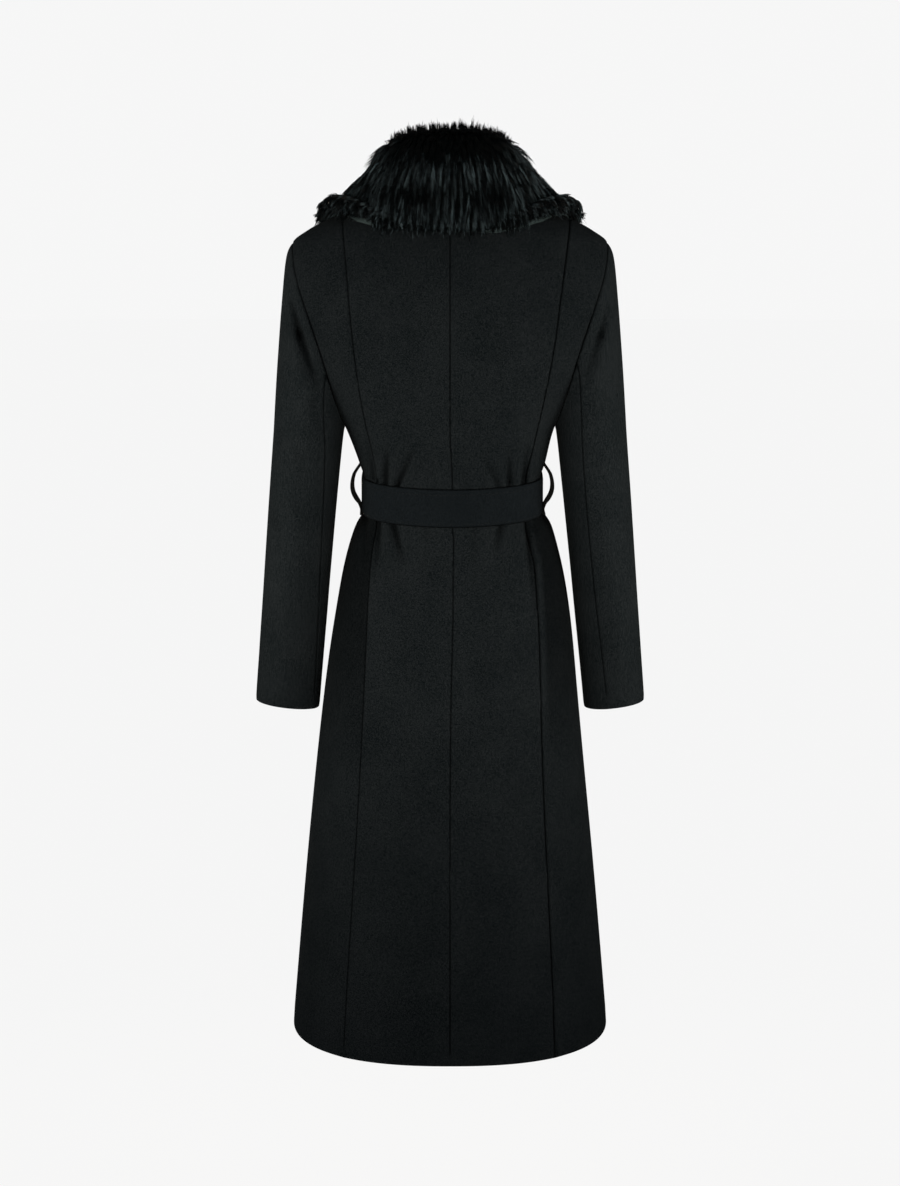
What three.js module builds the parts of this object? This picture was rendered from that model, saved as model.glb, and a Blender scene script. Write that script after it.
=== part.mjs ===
// A knee-length wool coat with a fur collar and a tied belt, filled out as if worn.
// Millimetres, +Z up. The back of the coat faces +Y and the wearer's left is +X.
// The origin is level with the neck seam at the centre back, under the shoulder seams' line.
import * as THREE from "three";

// Cloth and seams
const WALL = 2; // heavy wool melton
const GAP = 0.3; // between two pieces that are sewn together
const BELT_THICK = 4; // two layers of the coat's wool
const BELT_HALF = 24.5; // half the belt's width of 49

// Main sizes: the nape is at 0 and each "down" is a distance below it
const SHOULDER_TIP = 57;
const UNDERARM = 298;
const WAIST = 383.5;
const HEM = 1105;
const ARMHOLE_MIDDLE = (SHOULDER_TIP + UNDERARM) / 2;
const ARMHOLE_HALF = (UNDERARM - SHOULDER_TIP) / 2;
const ARMHOLE_DEPTH = 58; // the armhole's half depth, front to back
const ARMHOLE_SQUARE = 2.2;

// The coat's level rings: half width at the side, depth at the centre back and centre front,
// squareness of the section, shift to the wearer's left and how far the ring dips at the back.
// Between the shoulder tip and the underarm the half width comes from the armhole instead.
const RINGS = [
  { down: 0, half: 75, back: 56, front: 58, square: 2.1, shift: 0, dip: 0 },
  { down: 12, half: 110, back: 62, front: 65, square: 2.1, shift: 0, dip: 0 },
  { down: 22, half: 140, back: 67, front: 71, square: 2.2, shift: 0, dip: 0 },
  { down: 34, half: 170, back: 73, front: 77, square: 2.2, shift: 0, dip: 0 },
  { down: 46, half: 190, back: 78, front: 82, square: 2.3, shift: 0, dip: 0 },
  { down: 57, half: 204, back: 82, front: 86, square: 2.3, shift: 0, dip: 0 },
  { down: 98, half: 204, back: 94, front: 98, square: 2.3, shift: 0, dip: 0 },
  { down: 144, half: 190, back: 102, front: 108, square: 2.3, shift: 0, dip: 0 },
  { down: 194, half: 175, back: 105, front: 116, square: 2.4, shift: 0, dip: 0 },
  { down: 244, half: 155, back: 103, front: 120, square: 2.4, shift: 0, dip: 0 },
  { down: 298, half: 137, back: 98, front: 118, square: 2.5, shift: 0, dip: 5 },
  { down: 316, half: 130.3, back: 96, front: 113, square: 2.6, shift: -1, dip: 8 },
  { down: 342, half: 122.6, back: 93, front: 106, square: 2.7, shift: -3, dip: 12 },
  { down: 352, half: 119, back: 91.5, front: 102, square: 2.8, shift: -3, dip: 12.5 },
  { down: 359, half: 115.4, back: 89.5, front: 99, square: 2.9, shift: -3, dip: 12.5 },
  { down: 383, half: 115, back: 89, front: 98, square: 2.9, shift: -3, dip: 12.5 },
  { down: 409, half: 115.6, back: 89.5, front: 98.5, square: 2.9, shift: -3, dip: 12.5 },
  { down: 424, half: 128, back: 95, front: 104, square: 2.7, shift: -5, dip: 12.5 },
  { down: 449, half: 136.5, back: 101, front: 109, square: 2.6, shift: -4, dip: 12 },
  { down: 489, half: 146.8, back: 108, front: 114, square: 2.5, shift: -4, dip: 9 },
  { down: 529, half: 153.7, back: 114, front: 118, square: 2.45, shift: -4, dip: 6 },
  { down: 570, half: 160, back: 119, front: 122, square: 2.4, shift: -3, dip: 3 },
  { down: 651, half: 169.3, back: 129, front: 130, square: 2.4, shift: -1, dip: 0 },
  { down: 775, half: 182.5, back: 146, front: 144, square: 2.4, shift: 0, dip: 0 },
  { down: 900, half: 195.1, back: 164, front: 160, square: 2.4, shift: 0, dip: 0 },
  { down: 1026, half: 206.5, back: 184, front: 176, square: 2.4, shift: 0, dip: 0 },
  { down: 1105, half: 213.5, back: 199, front: 187, square: 2.4, shift: 0, dip: 0 },
];

// How far out the armhole seam lies
const ARMHOLE = [
  { down: 57, out: 204 },
  { down: 76, out: 203 },
  { down: 98, out: 199.5 },
  { down: 121, out: 193 },
  { down: 144, out: 185 },
  { down: 194, out: 168 },
  { down: 244, out: 154 },
  { down: 271, out: 146 },
  { down: 298, out: 137 },
];

// The back's shaping seams run from the shoulder to the hem: their distance from the middle
const BACK_SEAMS = [
  { down: 18, left: 138, right: 156 },
  { down: 36, left: 137, right: 153.5 },
  { down: 92, left: 132, right: 145.7 },
  { down: 129, left: 129, right: 140.7 },
  { down: 188, left: 123.5, right: 133.5 },
  { down: 249, left: 116, right: 122.7 },
  { down: 318, left: 102, right: 107 },
  { down: 352, left: 95, right: 99.8 },
  { down: 409, left: 97, right: 100.3 },
  { down: 456, left: 103.6, right: 110.3 },
  { down: 592, left: 109.7, right: 116.3 },
  { down: 733, left: 116.6, right: 119.8 },
  { down: 881, left: 125.7, right: 126.8 },
  { down: 1023, left: 134.8, right: 133.6 },
  { down: 1105, left: 139, right: 136 },
];

// The front edge's distance before the middle; past it the value is negative and the fronts wrap
const FRONT_EDGE = [
  { down: 0, out: 71 },
  { down: 22, out: 66 },
  { down: 40, out: 61 },
  { down: 80, out: 48 },
  { down: 120, out: 32 },
  { down: 160, out: 15 },
  { down: 195, out: 0 },
  { down: 260, out: -29 },
  { down: 350, out: -62 },
  { down: 430, out: -74 },
  { down: 1105, out: -78 },
];

// The sleeve's rings, from the armhole to the cuff: the outer and inner end of each,
// half its depth from front to back, and how far forward its middle hangs
const SLEEVE = [
  { outDown: 57, out: 204, inDown: 298, in: 137, depth: 58, forward: 0 },
  { outDown: 66, out: 211, inDown: 299.5, in: 137.6, depth: 58.5, forward: 0 },
  { outDown: 84, out: 214.5, inDown: 301, in: 138, depth: 59.5, forward: 0 },
  { outDown: 112, out: 217.3, inDown: 302.5, in: 138.4, depth: 60.5, forward: 0 },
  { outDown: 148, out: 220.7, inDown: 304.5, in: 138.8, depth: 61.5, forward: 0 },
  { outDown: 190, out: 224.2, inDown: 307, in: 139.2, depth: 62, forward: 0 },
  { outDown: 235, out: 227.8, inDown: 310, in: 139.6, depth: 62, forward: 0 },
  { outDown: 278, out: 230.6, inDown: 314, in: 140.2, depth: 61.5, forward: 0 },
  { outDown: 316, out: 233.2, inDown: 322, in: 141.2, depth: 61, forward: 0 },
  { outDown: 352, out: 236.2, inDown: 357, in: 145, depth: 60, forward: 1 },
  { outDown: 396, out: 240, inDown: 401, in: 149.8, depth: 58.5, forward: 4 },
  { outDown: 440, out: 243.5, inDown: 446, in: 154.5, depth: 56.5, forward: 8 },
  { outDown: 484, out: 247.2, inDown: 491, in: 159.3, depth: 54.5, forward: 13 },
  { outDown: 528, out: 250.8, inDown: 536, in: 163.6, depth: 52.5, forward: 19 },
  { outDown: 572, out: 254.8, inDown: 580, in: 168.3, depth: 50.5, forward: 26 },
  { outDown: 614, out: 258.4, inDown: 623, in: 172.8, depth: 48.5, forward: 33 },
  { outDown: 648, out: 261.6, inDown: 658, in: 176.5, depth: 47, forward: 38 },
  { outDown: 670, out: 263.3, inDown: 680.5, in: 178.6, depth: 46.5, forward: 41 },
];
const FAN_RINGS = 8; // the first rings spread like a fan from the underarm
const SLEEVE_TURN = { left: -2.2, right: 2 }; // how far each cuff's inner end has turned outwards
const SLEEVE_SQUARE = 2.2;

// Where the sleeves' seams run, in degrees round the arm: 0 outside, 90 at the back, 180 inside
const SLEEVE_SEAMS = [
  { down: 57, leftBack: 112, rightBack: 106, front: 236 },
  { down: 250, leftBack: 116, rightBack: 108, front: 236 },
  { down: 303, leftBack: 122, rightBack: 110, front: 236 },
  { down: 396, leftBack: 130, rightBack: 113, front: 238 },
  { down: 491, leftBack: 135, rightBack: 112.5, front: 240 },
  { down: 574, leftBack: 140, rightBack: 109, front: 243 },
  { down: 681, leftBack: 147, rightBack: 105, front: 246 },
];

// The fur collar, by degrees round the neck from the centre back. neck and edge are how far down
// the coat its seam and its lower edge lie, lip is its thickness there, and the rest are points of
// its section: the inner face, the crest of the roll, and the outer face high up and low down.
const COLLAR = [
  {
    at: 0, neck: 0, inR: 45, inZ: 45, topR: 58, topZ: 92,
    outR: 84, outZ: 68, fallR: 105, fallZ: 14, edge: 47, lip: 24,
  },
  {
    at: 25, neck: 0, inR: 47, inZ: 44, topR: 60, topZ: 91,
    outR: 87, outZ: 66, fallR: 109, fallZ: 13, edge: 46, lip: 24,
  },
  {
    at: 50, neck: 0, inR: 53, inZ: 42, topR: 66, topZ: 87,
    outR: 92, outZ: 61, fallR: 120, fallZ: 12, edge: 39, lip: 21,
  },
  {
    at: 70, neck: 0, inR: 58, inZ: 38, topR: 72, topZ: 80,
    outR: 98, outZ: 54, fallR: 134, fallZ: 11, edge: 28, lip: 19,
  },
  {
    at: 90, neck: 0, inR: 62, inZ: 34, topR: 76, topZ: 70,
    outR: 104, outZ: 46, fallR: 145, fallZ: 7, edge: 26, lip: 19,
  },
  {
    at: 110, neck: 2, inR: 65, inZ: 24, topR: 81, topZ: 55,
    outR: 107, outZ: 28, fallR: 144, fallZ: -12, edge: 50, lip: 17,
  },
  {
    at: 128, neck: 13, inR: 76, inZ: 4, topR: 92, topZ: 25,
    outR: 116, outZ: -6, fallR: 144, fallZ: -54, edge: 92, lip: 17,
  },
  {
    at: 145, neck: 53, inR: 92, inZ: -42, topR: 106, topZ: -26,
    outR: 126, outZ: -56, fallR: 146, fallZ: -102, edge: 146, lip: 17,
  },
  {
    at: 160, neck: 108, inR: 102, inZ: -100, topR: 117, topZ: -92,
    outR: 132, outZ: -118, fallR: 143, fallZ: -150, edge: 186, lip: 15,
  },
  {
    at: 170, neck: 150, inR: 110, inZ: -146, topR: 124, topZ: -142,
    outR: 134, outZ: -160, fallR: 139, fallZ: -182, edge: 206, lip: 12,
  },
  {
    at: 176, neck: 178, inR: 115, inZ: -176, topR: 126, topZ: -176,
    outR: 131, outZ: -184, fallR: 133, fallZ: -196, edge: 212, lip: 8,
  },
];

// Folds where the cloth is held: from and to are points of the back (side 1) or the front (side -1).
// A positive deep is a trough and a negative one a ridge.
const FOLDS = [
  { side: 1, fromX: 82, fromDown: 362, toX: 79, toDown: 326, deep: 3.5, wide: 6 },
  { side: 1, fromX: 67, fromDown: 363, toX: 46, toDown: 326, deep: 2.5, wide: 7 },
  { side: 1, fromX: -79, fromDown: 362, toX: -76, toDown: 336, deep: 2, wide: 6 },
  { side: 1, fromX: -104, fromDown: 420, toX: -117, toDown: 545, deep: 3, wide: 7 },
  { side: 1, fromX: -117, fromDown: 420, toX: -129, toDown: 640, deep: -3, wide: 7 },
  { side: 1, fromX: 74, fromDown: 420, toX: 60, toDown: 462, deep: 3, wide: 7 },
  { side: 1, fromX: 106, fromDown: 424, toX: 112, toDown: 520, deep: 2.5, wide: 8 },
  { side: 1, fromX: 194, fromDown: 175, toX: 206, toDown: 130, deep: 4.5, wide: 6 },
  { side: 1, fromX: 194, fromDown: 175, toX: 172, toDown: 236, deep: 4.5, wide: 7 },
  { side: 1, fromX: -196, fromDown: 150, toX: -172, toDown: 228, deep: 4, wide: 8 },
  { side: -1, fromX: 84, fromDown: 350, toX: 96, toDown: 296, deep: 3, wide: 8 },
  { side: -1, fromX: -80, fromDown: 350, toX: -94, toDown: 290, deep: 3, wide: 8 },
  { side: -1, fromX: -52, fromDown: 404, toX: -66, toDown: 470, deep: 3, wide: 8 },
  { side: -1, fromX: 96, fromDown: 404, toX: 104, toDown: 480, deep: 3, wide: 8 },
];

const WOOL = 0x171b1b;
const WOOL_UNDER = 0x1d2424;
const FUR = 0x111313;
const CORD = 0x101414;

const radians = THREE.MathUtils.degToRad;
const mix = THREE.MathUtils.lerp;
const smoothstep = THREE.MathUtils.smoothstep;

// A smooth line through one column of a table. It stays between each two rows' values.
function through(rows, along, column) {
  const t = rows.map((row) => row[along]);
  const y = rows.map((row) => row[column]);
  const last = t.length - 1;
  const slope = t.slice(1).map((next, i) => (y[i + 1] - y[i]) / (next - t[i]));
  const tangent = t.map((_, i) => {
    if (i === 0 || i === last) return slope[Math.min(i, last - 1)];
    const [before, after] = [slope[i - 1], slope[i]];
    return before * after <= 0 ? 0 : (2 * before * after) / (before + after);
  });
  return (at) => {
    const x = Math.min(Math.max(at, t[0]), t[last]);
    let i = 0;
    while (i < last - 1 && x > t[i + 1]) i += 1;
    const span = t[i + 1] - t[i];
    const u = (x - t[i]) / span;
    const bend = u * u * (3 - 2 * u);
    const start = u * (1 - u) * (1 - u) * span * tangent[i];
    const end = u * u * (u - 1) * span * tangent[i + 1];
    return mix(y[i], y[i + 1], bend) + start + end;
  };
}

// Every column of a table as such lines, by its name.
function lines(rows, along) {
  const names = Object.keys(rows[0]).filter((name) => name !== along);
  return Object.fromEntries(names.map((name) => [name, through(rows, along, name)]));
}

const ring = lines(RINGS, "down");
const armhole = lines(ARMHOLE, "down");
const backSeam = lines(BACK_SEAMS, "down");
const frontEdge = lines(FRONT_EDGE, "down");
const sleeveSeam = lines(SLEEVE_SEAMS, "down");
const collar = lines(COLLAR, "at");

// How far the armhole seam stands from the shoulder's line, to the back and to the front.
function armholeDepth(down) {
  const share = Math.abs(down - ARMHOLE_MIDDLE) / ARMHOLE_HALF;
  return ARMHOLE_DEPTH * Math.max(0, 1 - share ** ARMHOLE_SQUARE) ** (1 / ARMHOLE_SQUARE);
}

// A ring's half width. By the armholes it is what makes the ring pass through the seam.
function halfWidth(down, depth) {
  if (down <= SHOULDER_TIP || down >= UNDERARM) return ring.half(down);
  const square = ring.square(down);
  const share = 1 - (armholeDepth(down) / depth) ** square;
  return armhole.out(down) / share ** (1 / square);
}

// The smooth figure: degrees go round from the centre back, past the wearer's left side.
function figure(degrees, down) {
  const sine = Math.sin(radians(degrees));
  const cosine = Math.cos(radians(degrees));
  const depth = cosine >= 0 ? ring.back(down) : ring.front(down);
  const half = halfWidth(down, depth);
  const square = ring.square(down);
  const sum = Math.abs(sine / half) ** square + Math.abs(cosine / depth) ** square;
  const reach = sum ** (-1 / square);
  const z = -down - ring.dip(down) * cosine;
  return new THREE.Vector3(ring.shift(down) + reach * sine, reach * cosine, z);
}

// A surface's outward direction, from points just beside the given one.
function outward(surface, u, v, stepU, stepV, heart) {
  const across = surface(u + stepU, v).sub(surface(u - stepU, v));
  const along = surface(u, v + stepV).sub(surface(u, v - stepV));
  const normal = across.cross(along).normalize();
  return normal.dot(surface(u, v).sub(heart)) < 0 ? normal.negate() : normal;
}

function figureOut(degrees, down) {
  const near = Math.min(Math.max(down, 1), HEM - 1);
  return outward(figure, degrees, near, 0.5, 0.8, new THREE.Vector3(0, 0, -near - 40));
}

// How deep the folds press a point in.
function foldDepth(point) {
  let depth = 0;
  for (const fold of FOLDS) {
    if (fold.side * point.y < 0) continue;
    const start = new THREE.Vector2(fold.fromX, -fold.fromDown);
    const run = new THREE.Vector2(fold.toX, -fold.toDown).sub(start);
    const here = new THREE.Vector2(point.x, point.z).sub(start);
    const share = THREE.MathUtils.clamp(here.dot(run) / run.lengthSq(), 0, 1);
    const away = here.distanceTo(run.clone().multiplyScalar(share)) / fold.wide;
    depth += fold.deep * (1 - 0.75 * share) * Math.exp(-away * away);
  }
  return depth;
}

// The coat's outer face: the figure with its folds, moved out by lift. The belt holds it smooth.
function coat(degrees, down, lift = 0) {
  const point = figure(degrees, down);
  const belted = smoothstep(Math.abs(down - WAIST), BELT_HALF - 1, BELT_HALF + 12);
  const out = lift - belted * foldDepth(point);
  return point.addScaledVector(figureOut(degrees, down), out);
}

// The degrees at which a ring is this far from the middle, on the back or on the front.
function degreesAt(x, down, back) {
  const depth = back ? ring.back(down) : ring.front(down);
  const from = Math.abs(x - ring.shift(down));
  const share = Math.min(1, from / halfWidth(down, depth));
  const square = ring.square(down);
  const y = depth * (1 - share ** square) ** (1 / square);
  const turn = THREE.MathUtils.radToDeg(Math.atan2(from, y));
  return back ? turn : 180 - turn;
}

// The degrees that a distance along a ring takes up.
function degreesFor(distance, degrees, down) {
  return distance / figure(degrees + 0.5, down).distanceTo(figure(degrees - 0.5, down));
}

// A quad as two triangles that share its shorter diagonal.
function split(points, a, b, c, d) {
  const straight = points[a].distanceTo(points[c]) <= points[b].distanceTo(points[d]);
  return straight ? [[a, b, c], [a, c, d]] : [[a, b, d], [b, c, d]];
}

// Turns triangles so that they face out, and makes the mesh.
function solid(name, points, faces, color, roughness) {
  let volume = 0;
  for (const [a, b, c] of faces) {
    volume += points[a].dot(new THREE.Vector3().crossVectors(points[b], points[c]));
  }
  const index = faces.flatMap(([a, b, c]) => (volume < 0 ? [a, c, b] : [a, b, c]));
  const geometry = new THREE.BufferGeometry().setFromPoints(points).setIndex(index);
  geometry.computeVertexNormals();
  const material = new THREE.MeshStandardMaterial({ color, roughness, metalness: 0 });
  const mesh = new THREE.Mesh(geometry, material);
  mesh.name = name;
  return mesh;
}

// A wall between two grids of points, closed along its edges. A band also closes on itself.
function wall(name, outer, inner, color, band = false) {
  const rows = outer.length;
  const columns = outer[0].length;
  const across = band ? columns : columns - 1;
  const points = [...outer.flat(), ...inner.flat()];
  const at = (face, i, j) => face * rows * columns + i * columns + (j % columns);
  const faces = [];
  const quad = (...corners) => faces.push(...split(points, ...corners));
  for (let i = 0; i < rows - 1; i += 1) {
    for (let j = 0; j < across; j += 1) {
      quad(at(0, i, j), at(0, i + 1, j), at(0, i + 1, j + 1), at(0, i, j + 1));
      quad(at(1, i, j), at(1, i, j + 1), at(1, i + 1, j + 1), at(1, i + 1, j));
    }
    if (!band) {
      const end = columns - 1;
      quad(at(0, i, 0), at(1, i, 0), at(1, i + 1, 0), at(0, i + 1, 0));
      quad(at(0, i, end), at(0, i + 1, end), at(1, i + 1, end), at(1, i, end));
    }
  }
  for (let j = 0; j < across; j += 1) {
    const end = rows - 1;
    quad(at(0, 0, j), at(0, 0, j + 1), at(1, 0, j + 1), at(1, 0, j));
    quad(at(0, end, j), at(1, end, j), at(1, end, j + 1), at(0, end, j + 1));
  }
  return solid(name, points, faces, color, 0.95);
}

// A solid through closed rings of points, one after another, with its two ends filled.
function loft(name, rings, color, roughness) {
  const count = rings[0].length;
  const points = rings.flat();
  const faces = [];
  for (let i = 0; i < rings.length - 1; i += 1) {
    for (let j = 0; j < count; j += 1) {
      const a = i * count + j;
      const b = i * count + ((j + 1) % count);
      faces.push(...split(points, a, a + count, b + count, b));
    }
  }
  for (const first of [0, rings.length - 1]) {
    const middle = points.length;
    const sum = rings[first].reduce((total, p) => total.add(p), new THREE.Vector3());
    points.push(sum.divideScalar(count));
    for (let j = 0; j < count; j += 1) {
      const a = first * count + j;
      const b = first * count + ((j + 1) % count);
      faces.push(first === 0 ? [middle, a, b] : [middle, b, a]);
    }
  }
  return solid(name, points, faces, color, roughness);
}

// Rows of the body's panels: close together by the armhole's ends and by the belt.
const SHOULDER_ROWS = [0, 6, 12];
const TIP_ROWS = [34, 40, 46, 52];
const ARMHOLE_STEPS = 12;
const ARMHOLE_ROWS = Array.from({ length: ARMHOLE_STEPS + 1 }, (_, i) => {
  return ARMHOLE_MIDDLE - ARMHOLE_HALF * Math.cos((i * Math.PI) / ARMHOLE_STEPS);
});
const SKIRT_ROWS = [
  312, 327, 340, 351, 359, 383.5, 408, 416, 425, 438, 460, 490, 530, 580, 640, 710, 790, 870, 950,
  1030, HEM,
];

// One panel of the body. from and to give the degrees of its two edges in each row.
function panel(name, mirror, rows, columns, from, to, sink = () => 0) {
  const outer = [];
  const inner = [];
  for (const down of rows) {
    const start = from(down);
    const end = to(down);
    const gap = (GAP / 2) * Math.sign(end - start);
    const first = start + degreesFor(gap, start * mirror, down);
    const last = end - degreesFor(gap, end * mirror, down);
    const outerRow = [];
    const innerRow = [];
    for (let j = 0; j <= columns; j += 1) {
      const degrees = mix(first, last, j / columns) * mirror;
      const lift = -sink(figure(degrees, down), down);
      const point = coat(degrees, down, lift);
      outerRow.push(point);
      innerRow.push(point.clone().addScaledVector(figureOut(degrees, down), -WALL));
    }
    outer.push(outerRow);
    inner.push(innerRow);
  }
  return wall(name, outer, inner, WOOL);
}

// Where the body ends at the side: the shoulder seam, the armhole or the side seam.
function sideEdge(down, back) {
  if (down <= SHOULDER_TIP || down >= UNDERARM) return 90;
  return degreesAt(armhole.out(down), down, back);
}

function backPanels(label, mirror) {
  const seam = backSeam[label];
  let start = 12;
  while (ring.half(start) < seam(start)) start += 0.25;
  const seamEdge = (down) => {
    return down <= start ? 90 : degreesAt(seam(down) * mirror, down, true);
  };
  const rows = [...TIP_ROWS, ...ARMHOLE_ROWS, ...SKIRT_ROWS];
  const middle = [...SHOULDER_ROWS, start, start + 2, ...rows];
  const side = [start + 2, ...rows];
  return [
    panel("back_centre_" + label, mirror, middle, 8, () => 0, seamEdge),
    panel("back_side_" + label, mirror, side, 6, seamEdge, (down) => sideEdge(down, true)),
  ];
}

// The wearer's left front lies under the right one, so it sinks where that covers it.
function frontPanel(label, mirror, under) {
  const rows = [...SHOULDER_ROWS, 17, 22, 28, ...TIP_ROWS, ...ARMHOLE_ROWS, ...SKIRT_ROWS];
  const edge = (down) => {
    const out = frontEdge.out(down);
    const middle = ring.shift(down) * mirror;
    if (out > middle) return degreesAt(out * mirror, down, false);
    return 360 - degreesAt(out * mirror, down, false);
  };
  const sink = (point, down) => {
    const cover = -frontEdge.out(down) + 50;
    return under ? (WALL + 1.4) * smoothstep(cover - point.x, 0, 34) : 0;
  };
  const side = (down) => sideEdge(down, false);
  return panel("front_" + label, mirror, rows, 10, side, edge, sink);
}

// A point of the sleeve, by degrees round the arm and by ring, counted in fractions too.
const sleeveRing = lines(SLEEVE.map((row, i) => ({ ...row, ring: i })), "ring");

function armPoint(degrees, at, label) {
  const cosine = Math.cos(radians(degrees));
  const sine = Math.sin(radians(degrees));
  const power = Math.abs(cosine) ** SLEEVE_SQUARE + Math.abs(sine) ** SLEEVE_SQUARE;
  const reach = power ** (-1 / SLEEVE_SQUARE);
  const outer = new THREE.Vector3(sleeveRing.out(at), 0, -sleeveRing.outDown(at));
  const turn = SLEEVE_TURN[label] * smoothstep(at, FAN_RINGS, SLEEVE.length - 1);
  const inner = new THREE.Vector3(sleeveRing.in(at) + turn, 0, -sleeveRing.inDown(at));
  const share = (1 + reach * cosine) / 2;
  const point = inner.lerp(outer, share);
  const fan = Math.max(0, 1 - at / FAN_RINGS) ** 2;
  const seamDown = ARMHOLE_MIDDLE - ARMHOLE_HALF * reach * cosine;
  const straight = mix(SLEEVE[0].in, SLEEVE[0].out, share);
  point.x += fan * (armhole.out(seamDown) - straight);
  point.y = sleeveRing.depth(at) * reach * sine - sleeveRing.forward(at);
  return point;
}

function armMiddle(at, label) {
  return armPoint(0, at, label).lerp(armPoint(180, at, label), 0.5);
}

function armOut(degrees, at, label) {
  const near = Math.min(Math.max(at, 0.05), SLEEVE.length - 1.05);
  const surface = (u, v) => armPoint(u, v, label);
  return outward(surface, degrees, near, 1, 0.04, armMiddle(at, label));
}

// One piece of a sleeve between two seams. Its first ring meets the armhole edge to edge.
function sleevePiece(name, label, mirror, columns, from, to) {
  const outer = [];
  const inner = [];
  const awayFromBody = new THREE.Vector3(0.96, 0, -0.26).multiplyScalar(GAP + 0.1);
  for (let i = 0; i < SLEEVE.length; i += 1) {
    const down = (SLEEVE[i].outDown + SLEEVE[i].inDown) / 2;
    const middle = armMiddle(i, label);
    const gap = GAP / 2 / radians(sleeveRing.depth(i));
    const outerRow = [];
    const innerRow = [];
    for (let j = 0; j <= columns; j += 1) {
      const degrees = mix(from(down) + gap, to(down) - gap, j / columns);
      const point = armPoint(degrees, i, label);
      const out = armOut(degrees, i, label);
      const mirrored = point.clone().setX(point.x * mirror);
      if (i > 0) point.addScaledVector(out, -foldDepth(mirrored));
      point.add(awayFromBody);
      const inward = i > 0 ? out.negate() : middle.clone().sub(point).normalize();
      const inside = point.clone().addScaledVector(inward, WALL);
      point.x *= mirror;
      inside.x *= mirror;
      outerRow.push(point);
      innerRow.push(inside);
    }
    outer.push(outerRow);
    inner.push(innerRow);
  }
  return wall(name, outer, inner, WOOL);
}

function sleeve(label, mirror) {
  const back = (down) => sleeveSeam[label + "Back"](down);
  const front = (down) => sleeveSeam.front(down);
  return [
    sleevePiece("sleeve_upper_" + label, label, mirror, 12, (down) => front(down) - 360, back),
    sleevePiece("sleeve_under_" + label, label, mirror, 8, back, front),
  ];
}

// The wool under the collar lies on the coat, and the fur lies on that wool.
const UNDER_LIFT = 2;
const FUR_LIFT = UNDER_LIFT + WALL + 0.6;
const UNDER_ROWS = [0, 0.25, 0.5, 0.75, 0.97];
const FUR_ROWS = [...UNDER_ROWS, 1];
const COLLAR_END = COLLAR[COLLAR.length - 1].at;
const COLLAR_STEPS = 25;
const COLLAR_ANGLES = Array.from({ length: 2 * COLLAR_STEPS + 1 }, (_, i) => {
  return ((i - COLLAR_STEPS) / COLLAR_STEPS) * COLLAR_END;
});

function collarBed(degrees, share, lift) {
  const at = Math.abs(degrees);
  const down = mix(collar.neck(at), collar.edge(at), share);
  return figure(degrees, down).addScaledVector(figureOut(degrees, down), lift);
}

// A point of a plane that stands on the neck's axis.
function spoke(degrees, r, z) {
  return new THREE.Vector3(r * Math.sin(radians(degrees)), r * Math.cos(radians(degrees)), z);
}

function furRing(degrees) {
  const at = Math.abs(degrees);
  const lip = collar.lip(at);
  const seam = collarBed(degrees, 0, FUR_LIFT);
  const seamR = Math.hypot(seam.x, seam.y);
  const top = spoke(degrees, collar.topR(at), collar.topZ(at));
  const inside = spoke(degrees, collar.inR(at), collar.inZ(at));
  const face = [
    spoke(degrees, collar.outR(at), collar.outZ(at)),
    spoke(degrees, collar.fallR(at), collar.fallZ(at)),
    collarBed(degrees, 0.9, FUR_LIFT + lip),
    collarBed(degrees, 1.03, FUR_LIFT + lip * 0.6),
  ];
  const loop = [
    spoke(degrees, mix(seamR, collar.inR(at), 0.5), mix(seam.z, collar.inZ(at), 0.2)),
    inside,
    inside.clone().lerp(top, 0.75).add(spoke(degrees, -3, 0)),
    top,
    top.clone().lerp(face[0], 0.5).add(spoke(degrees, 5, 6)),
    face[0],
    face[0].clone().lerp(face[1], 0.5).add(spoke(degrees, 1, 1)),
    face[1],
    face[1].clone().lerp(face[2], 0.5).add(spoke(degrees, 1, 0)),
    face[2],
    face[3],
  ];
  const bed = FUR_ROWS.map((share) => collarBed(degrees, share, FUR_LIFT)).reverse();
  return [...loop, ...bed];
}

function collarPieces() {
  const fur = loft("collar_fur", COLLAR_ANGLES.map(furRing), FUR, 1);
  const layer = (lift) => {
    return UNDER_ROWS.map((share) => {
      return COLLAR_ANGLES.slice(1, -1).map((degrees) => {
        const near = share === 0 ? 0.8 : 0;
        return collarBed(degrees, share, lift - near);
      });
    });
  };
  return [fur, wall("collar_under", layer(UNDER_LIFT + WALL), layer(UNDER_LIFT), WOOL_UNDER)];
}

// The belt: a band round the waist, and its knot and two ends at the front.
const BAND_COLUMNS = 48;
const BAND_ROWS = [-1, -0.82, 0, 0.82, 1];

function beltPoint(degrees, across, lift) {
  const down = WAIST + across * BELT_HALF;
  return figure(degrees, down).addScaledVector(figureOut(degrees, WAIST), lift);
}

function beltBand() {
  const grid = (inset) => {
    return BAND_ROWS.map((across) => {
      const edge = Math.abs(across) === 1 ? 1 : 0;
      return Array.from({ length: BAND_COLUMNS }, (_, j) => {
        return beltPoint((j * 360) / BAND_COLUMNS, across, inset(edge));
      });
    });
  };
  const inner = grid(() => 0.6);
  const outer = grid((edge) => 0.6 + BELT_THICK - edge * 1.2);
  return wall("belt_band", outer, inner, WOOL, true);
}

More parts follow.
